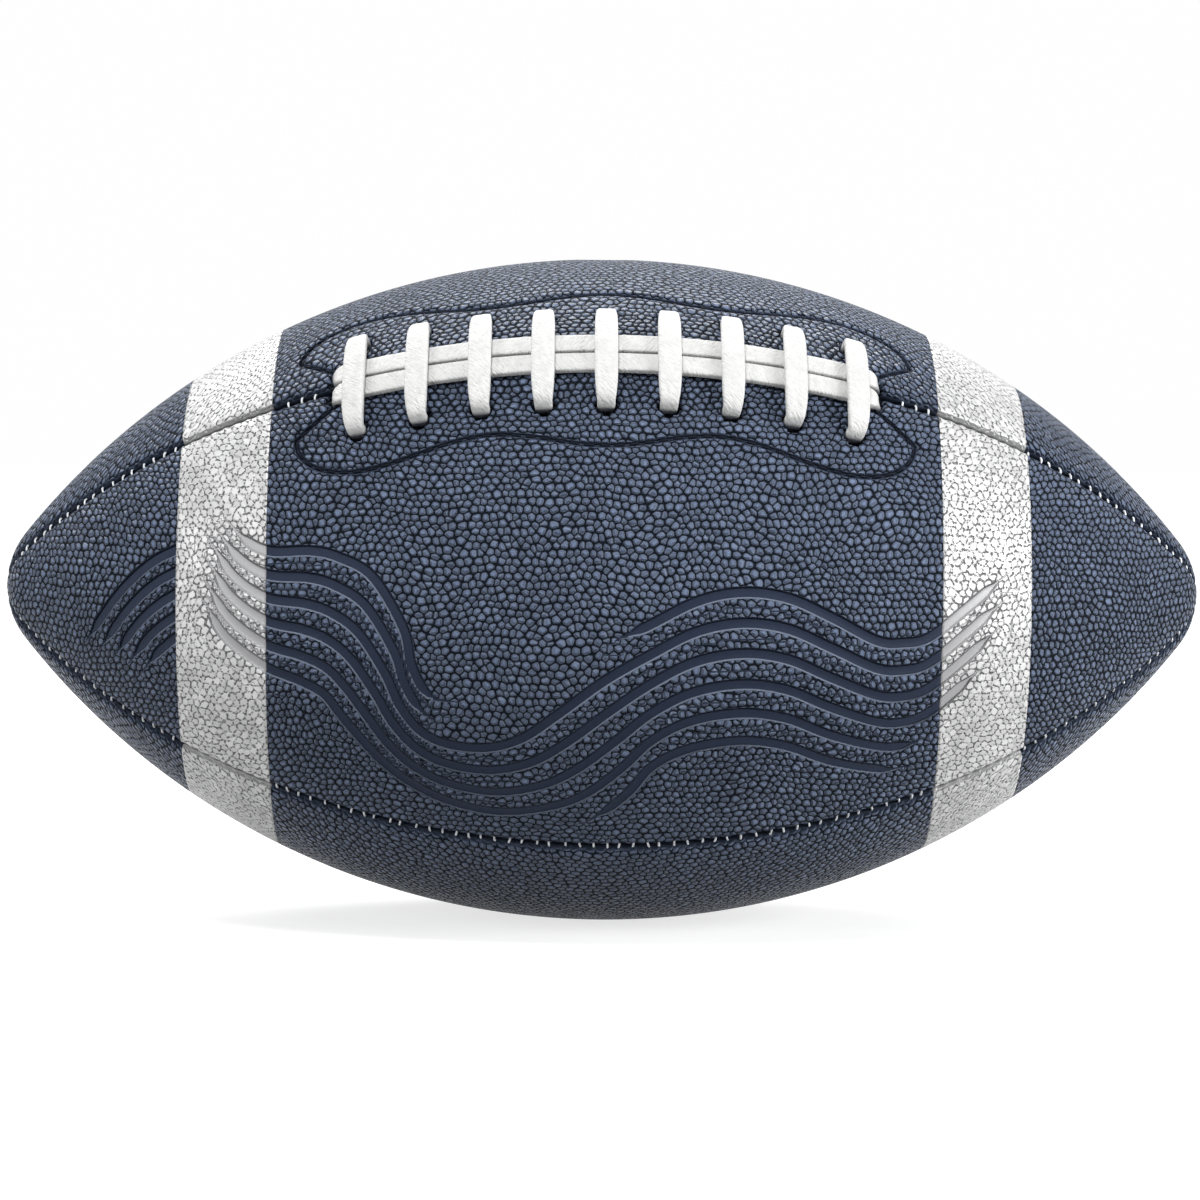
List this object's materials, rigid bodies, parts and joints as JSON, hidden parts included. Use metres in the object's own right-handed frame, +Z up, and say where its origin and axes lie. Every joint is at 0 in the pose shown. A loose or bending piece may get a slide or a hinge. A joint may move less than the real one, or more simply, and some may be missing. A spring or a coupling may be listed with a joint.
{
  "type": "american football",
  "caption": "Prolate ball of four sewn pebbled cover panels with two stripes, a laced slit, lining, bladder and needle valve.",
  "frame": {"origin": "middle of the ball, on its long axis", "axes": "+X along the long axis to the right tip as seen from the front, -Y towards the viewer and square to the front panel's middle, +Z up through the valve; the laced seam lies midway between -Y and +Z"},
  "size_m": [0.28, 0.1552, 0.1552],
  "materials": {
    "cover": "pebbled composite leather, dark navy, satin",
    "stripe": "silver-white film pressed over the pebble grain, soft metallic sheen",
    "lining": "woven cotton lining",
    "facing": "plain split leather",
    "lace": "white coated lace with a fine grain",
    "guard": "stiffened cloth",
    "bladder": "moulded butyl rubber",
    "valve": "moulded rubber",
    "plug": "soft moulded rubber",
    "thread": "waxed polyester thread"
  },
  "bodies": {
    "root": {"front_panel": "cover", "top_panel": "cover", "back_panel": "cover", "bottom_panel": "cover", "front_lining": "lining", "top_lining": "lining", "back_lining": "lining", "bottom_lining": "lining", "front_lace_facing": "facing", "top_lace_facing": "facing", "left_stripe": "stripe", "right_stripe": "stripe", "lace": "lace", "lace_guard": "guard", "bladder": "bladder", "valve_housing": "valve", "valve_plug": "plug", "lace_seam_thread": "thread", "top_back_seam_thread": "thread", "back_bottom_seam_thread": "thread", "front_bottom_seam_thread": "thread"}
  },
  "joints": []
}
